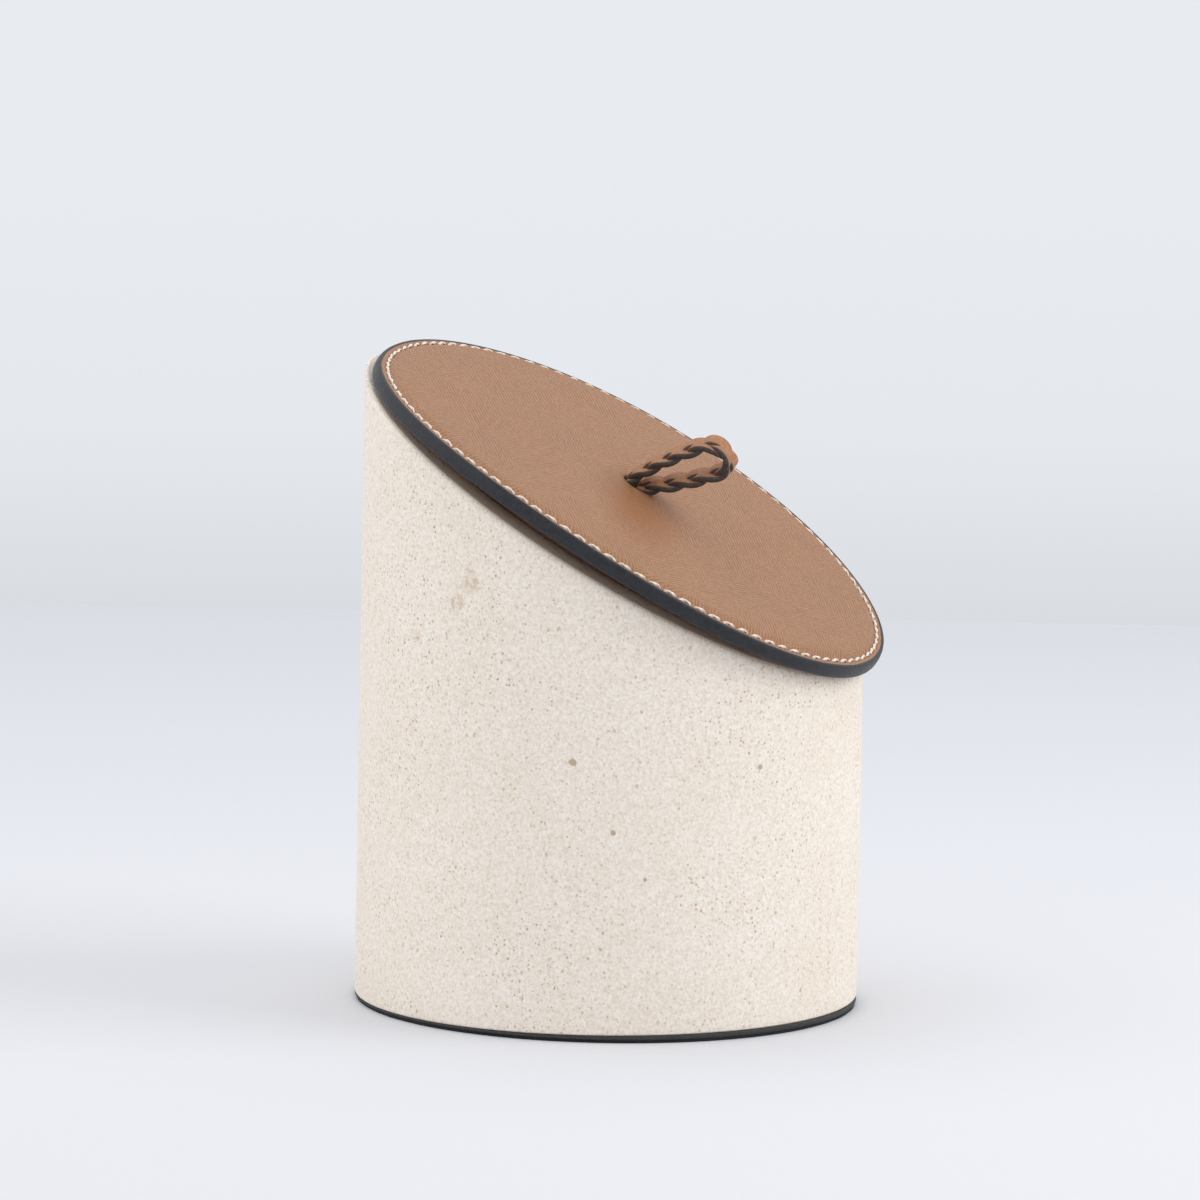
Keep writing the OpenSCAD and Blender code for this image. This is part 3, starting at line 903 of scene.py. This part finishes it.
def make_stitches():
    """All stitches as one mesh of twisted plies."""
    pick = random.Random(31)
    points, faces = [], []
    rows, sides = 17, 8
    t = np.linspace(-0.5, 0.5, rows)
    middles, _ = even_angles(seam_wide, seam_long, stitch_count * 2)
    for angle in middles[1::2]:
        at, ahead_at = (np.array([*outline(angle + step, seam_wide, seam_long), 0]) for step in (0, 0.002))
        along = ahead_at - at
        along /= np.linalg.norm(along)
        tip = stitch_slant + pick.uniform(-0.03, 0.03)
        side = np.array([-along[1], along[0], 0])
        along, side = along * math.cos(tip) + side * math.sin(tip), side * math.cos(tip) - along * math.sin(tip)
        rise = stitch_rise * pick.uniform(0.85, 1.1)
        span = stitch_span * pick.uniform(0.96, 1.03)
        arch = rise * (1 - (2 * np.abs(t)) ** 2.6) - 0.16 * MM
        core = at + np.outer(t * span, along)
        core[:, 2] = skin_z - bow_drop(core[:, 1]) + arch
        across = np.tile(side, (rows, 1))
        above = np.tile([0.0, 0.0, 1.0], (rows, 1))
        spin = pick.uniform(0, 6.3)
        fat = 1 - 0.55 * (2 * np.abs(t)) ** 3
        for ply in (0, math.pi):
            turn_by = 2 * math.pi * ply_turns * t + spin + ply
            path = core + ply_offset * (np.cos(turn_by)[:, None] * across + np.sin(turn_by)[:, None] * above)
            start = sum(len(p) for p in points)
            points.append(tube(path, across, above, ply_r * fat, sides).reshape(-1, 3))
            faces += [[start + v for v in quad] for quad in ring_quads(rows, sides)]
            faces.append([start + v for v in range(sides)][::-1])
            faces.append([start + (rows - 1) * sides + v for v in range(sides)])
    return add_piece("stitches", np.concatenate(points), faces, [thread], place=lid_place)


dress(make_stitches(), "lid", "thread", "stitch_thread")

# %% [markdown]
# ## The braided pull
#
# Three flat strips of tan leather with inked edges are plaited into a braid, and the braid is
# folded into a loop whose tails go down through the lid. In a flat plait each strip swings from
# side to side like a cosine, and dips under and over at twice that rate. The strips are a third of
# a turn apart. So a strip is a flat tube along a path that sways and dips about the loop's line.

# %% Braid sizes
pull_at = Vector((3.9 * MM, -0.2 * MM, skin_z + 0.25 * MM))
pull_turn = math.radians(6.0)
pull_tilt = math.radians(30.9)
pull_lean = math.radians(33)
loop_len = 25.2 * MM
braid_t = 1.7 * MM
loop_gap = 5 * MM
bend_r = (loop_gap + braid_t) / 2
root_r = 1.3 * MM
leg_len = loop_len - bend_r - braid_t / 2
tail_len = 5.5 * MM
bend_zone = 2.0 * MM
plait_run = 17.7 * MM
plait_sway = 0.98 * MM
plait_dip = 0.55 * MM
strip_w = 2.85 * MM
strip_t = 1.25 * MM


# %% Braid finishes
def make_strip_leather():
    """Raw tan strip: smooth face with fine fibres."""
    material, tree, shader = new_finish("strip_leather", (0.42, 0.19, 0.085), 0.55)
    where = place_texture(tree)
    fibre = noise_at(tree, where, 1700, 4, 0.7)
    colour = blend_colour(tree, steps(tree, fibre, 0.3, 0.7), (0.31, 0.13, 0.052), (0.46, 0.22, 0.103))
    link(tree, colour, shader.inputs["Base Color"])
    add_bump(tree, shader, fibre, 0.14 * MM)
    return material


def make_strip_ink():
    """Dull grey-black ink on the strips' cut edges."""
    material, tree, shader = new_finish("strip_ink", (0.055, 0.052, 0.05), 0.6)
    where = place_texture(tree)
    worn = noise_at(tree, where, 1500, 4, 0.7)
    colour = blend_colour(tree, steps(tree, worn, 0.35, 0.75), (0.035, 0.033, 0.034), (0.105, 0.098, 0.09))
    link(tree, colour, shader.inputs["Base Color"])
    add_bump(tree, shader, worn, 0.1 * MM)
    return material


strip_leather = make_strip_leather()
strip_ink = make_strip_ink()


# %% Braid path
def leg_offset(u):
    """How far a leg lies from the loop's middle line, u metres above the root."""
    t = min(max(u / leg_len, 0), 1)
    return root_r + (bend_r - root_r) * t * (2 - t)


def bend_frame(u):
    """Middle line and axes of the pull at height u: it turns from the hole's axis to the loop's."""
    def axes(height):
        w = float(smooth((height + bend_zone) / (2 * bend_zone)))
        return (Matrix.Rotation(pull_turn, 3, "Z") @ Matrix.Rotation(-pull_tilt * w, 3, "Y")
                @ Matrix.Rotation(pull_lean * w, 3, "X"))
    start = pull_at + bend_zone * axes(bend_zone).col[2]
    if u >= bend_zone:
        return start + (u - bend_zone) * axes(u).col[2], axes(u)
    step_count = 24
    step = (bend_zone - u) / step_count
    at = start
    for k in range(step_count):
        at = at - step * axes(bend_zone - (k + 0.5) * step).col[2]
    return at, axes(u)


def loop_points():
    """Evenly spaced points round the loop, each with the direction across the braid."""
    raw = []
    leg_steps, arc_steps = 90, 40
    for k in range(leg_steps + 1):
        u = -tail_len + (leg_len + tail_len) * k / leg_steps
        raw.append((u, leg_offset(u)))
    for k in range(1, arc_steps):
        a = math.pi * k / arc_steps
        raw.append((leg_len + bend_r * math.sin(a), bend_r * math.cos(a)))
    raw += [(u, -q) for u, q in raw[:leg_steps + 1][::-1]]
    middle, across = [], []
    for u, q in raw:
        at, axes = bend_frame(u)
        middle.append(at + q * axes.col[1])
        across.append(axes.col[0])
    middle, across = np.array(middle), np.array(across)
    run = np.concatenate([[0], np.cumsum(np.linalg.norm(np.diff(middle, axis=0), axis=1))])
    count = int(run[-1] / (0.22 * MM))
    even = np.linspace(0, run[-1], count)
    pick = lambda rows: np.stack([np.interp(even, run, rows[:, i]) for i in range(3)], 1)
    return even, pick(middle), pick(across)


# %% Braid mesh
def strip_outline():
    """Cross-section of a strip as (across, out) points, with rounded edges."""
    half, thick = strip_w / 2, strip_t / 2
    outline = []
    for corner, (sx, sy) in enumerate(((1, 1), (-1, 1), (-1, -1), (1, -1))):
        for k in range(4):
            a = math.radians(corner * 90 + k * 30)
            soft = 0.55 * MM
            outline.append((sx * (half - soft) + soft * math.cos(a), sy * (thick - soft) + soft * math.sin(a)))
    return np.array(outline)


def make_braid():
    """Three plaited strips along the loop."""
    run, middle, across = loop_points()
    along = np.gradient(middle, axis=0)
    along /= np.linalg.norm(along, axis=1)[:, None]
    out = np.cross(across, along)
    outline = strip_outline()
    sides = len(outline)
    is_edge = [1 if abs(outline[k][0] + outline[(k + 1) % sides][0]) > strip_w - 0.65 * MM else 0
               for k in range(sides)]
    points, faces, slots = [], [], []
    for strip in range(3):
        phase = 2 * math.pi * ((run - run[-1] / 2) / plait_run + 0.02 + strip / 3)
        rate = 2 * math.pi / plait_run
        tight = plait_sway * (1 - 0.3 * bump_at(run, run[-1] / 2, 5 * MM))
        sway, sway_rate = tight * np.cos(phase), -tight * rate * np.sin(phase)
        dip, dip_rate = plait_dip * np.sin(2 * phase), 2 * plait_dip * rate * np.cos(2 * phase)
        path = middle + sway[:, None] * across + dip[:, None] * out
        wide = across - sway_rate[:, None] * along
        wide /= np.linalg.norm(wide, axis=1)[:, None]
        thick = out - dip_rate[:, None] * along
        thick /= np.linalg.norm(thick, axis=1)[:, None]
        bunch = 1 + 0.25 * (np.abs(np.cos(phase)) ** 6)[:, None] * (np.abs(outline[:, 0]) > 0.9 * MM)
        lift = (outline[None, :, 1] * bunch)[..., None]
        rings = path[:, None] + outline[None, :, :1] * wide[:, None] + lift * thick[:, None]
        start = sum(len(p) for p in points)
        points.append(rings.reshape(-1, 3))
        faces += [[start + v for v in quad] for quad in ring_quads(len(rings), sides)]
        slots += is_edge * (len(rings) - 1)
        faces += [[start + v for v in range(sides)][::-1],
                  [start + (len(rings) - 1) * sides + v for v in range(sides)]]
        slots += [1, 1]
    print("braid length", round(run[-1] / MM), "mm")
    return add_piece("braided_pull", np.concatenate(points), faces, [strip_leather, strip_ink], slots,
                     place=lid_place)


braid = make_braid()
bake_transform(braid)
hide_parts("pull_braid", "pull_root")

# %% [markdown]
# ## Pieces inside the lid
#
# The board and the core are closed in by leather: dense fibre board, which keeps the lid flat. The
# core follows the bow like the leathers. The plug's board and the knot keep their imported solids.


# %% Board finish and core
def make_board():
    """Dense leather board, flecked."""
    material, tree, shader = new_finish("board", (0.3, 0.2, 0.12), 0.85)
    flecks = noise_at(tree, place_texture(tree), 1300, 4, 0.7)
    link(tree, blend_colour(tree, steps(tree, flecks, 0.35, 0.7), (0.24, 0.16, 0.1), (0.4, 0.29, 0.19)),
         shader.inputs["Base Color"])
    add_bump(tree, shader, flecks, 0.1 * MM)
    return material


board = make_board()
dress(make_sheet("core_sheet", lining_z + lining_t, top_z, 0.8 * MM, board), "lid", "board", "lid_core")
for node_name, finish in (("plug_board", board), ("pull_knot", strip_leather)):
    node_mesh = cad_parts[node_name].data
    node_mesh.materials.clear()
    node_mesh.materials.append(finish)
    print(node_name, "finished")

# %% [markdown]
# ## Stage and light
#
# The photograph is a product shot on a white sweep: even light from all round, a little more from
# the right, and a pale blue-grey background. The floor is a plain matt sheet that takes the box's
# soft shadow. The backdrop's colour is seen by the camera only, so it adds no light of its own.


# %% Floor and backdrop
def srgb(*levels):
    """Screen levels from 0 to 255 as the linear numbers that shaders use."""
    return tuple(((v / 255 + 0.055) / 1.055) ** 2.4 for v in levels)


sweep_far = 0.5
view_dir = Vector((math.cos(camera_turn), math.sin(camera_turn), 0))
side_dir = Vector((math.sin(camera_turn), -math.cos(camera_turn), 0))


def make_floor():
    """A matt sheet whose tone falls off a little towards the back, as painted shade."""
    material, tree, shader = new_finish("floor_sheet", srgb(238, 239, 244), 0.9, Specular_IOR_Level=0.1)
    where = add_node(tree, "ShaderNodeTexCoord").outputs["Object"]
    depth = add_node(tree, "ShaderNodeVectorMath", {"operation": "DOT_PRODUCT"}, i0=where,
                     i1=tuple(view_dir)).outputs["Value"]
    near = steps(tree, depth, -0.3, 0.0)
    far = steps(tree, depth, 0.05, sweep_far)
    # Painted shade: the floor's colour darkens towards the back of the sweep.
    colour = blend_colour(tree, near, srgb(216, 217, 221), srgb(218, 219, 224))
    colour = blend_colour(tree, far, colour, srgb(203, 205, 210))
    link(tree, colour, shader.inputs["Base Color"])
    corners = [view_dir * d + side_dir * s for d, s in ((-2.2, -3), (-2.2, 3), (sweep_far, 3), (sweep_far, -3))]
    return add_piece("floor", [tuple(c) for c in corners], [(0, 1, 2, 3)], [material])


floor = make_floor()


# %% Lights
def add_area(name, away, turn_deg, height, size, power, colour=(1, 1, 1)):
    """A square soft light that faces the box; turn_deg is counted from the camera's side."""
    data = bpy.data.lights.new(name, "AREA")
    data.size, data.energy, data.color = size, power, colour
    lamp = bpy.data.objects.new(name, data)
    bpy.context.scene.collection.objects.link(lamp)
    turn_by = math.radians(turn_deg)
    at = -view_dir * math.cos(turn_by) * away + side_dir * math.sin(turn_by) * away + Vector((0, 0, height))
    lamp.location = at
    lamp.rotation_euler = (Vector((0, 0, 0.06)) - at).to_track_quat("-Z", "Y").to_euler()
    return lamp


add_area("window_right", 1.1, 80, 0.85, 0.9, 7.0, (1.0, 0.99, 0.975))
add_area("window_left", 1.3, -80, 1.1, 2.6, 11, (1.0, 0.99, 0.98))
add_area("overhead", 0.5, 180, 1.5, 1.2, 3)


def make_world():
    """Even studio light; the camera sees a pale backdrop in its place, with painted shade darker towards the
    floor.
    """
    world = bpy.data.worlds.new("studio")
    bpy.context.scene.world = world
    world.use_nodes = True
    tree = world.node_tree
    soft = tree.nodes["Background"]
    soft.inputs["Color"].default_value = (0.96, 0.98, 1.0, 1)
    soft.inputs["Strength"].default_value = 0.83
    look = add_node(tree, "ShaderNodeTexCoord").outputs["Generated"]
    rise = add_node(tree, "ShaderNodeSeparateXYZ", i0=look).outputs["Z"]
    # Painted shade: a darker band where the backdrop meets the floor.
    low = blend_colour(tree, steps(tree, rise, -0.19, -0.16), srgb(226, 229, 235), srgb(217, 220, 225))
    colour = blend_colour(tree, steps(tree, rise, -0.1528, -0.1415), low, srgb(229, 232, 237))
    colour = blend_colour(tree, steps(tree, rise, -0.1415, -0.125), colour, srgb(232, 235, 240))
    paper = add_node(tree, "ShaderNodeBackground", Color=colour, Strength=1.0)
    rays = add_node(tree, "ShaderNodeLightPath")
    seen = maths(tree, "MAXIMUM", rays.outputs["Is Camera Ray"], rays.outputs["Is Glossy Ray"])
    seen = maths(tree, "MAXIMUM", seen, rays.outputs["Is Transmission Ray"])
    mix = add_node(tree, "ShaderNodeMixShader", i0=seen, i1=soft.outputs[0], i2=paper.outputs[0])
    link(tree, mix.outputs[0], tree.nodes["World Output"].inputs["Surface"])


make_world()

# %% Finish
bpy.context.scene.view_settings.view_transform = "Standard"
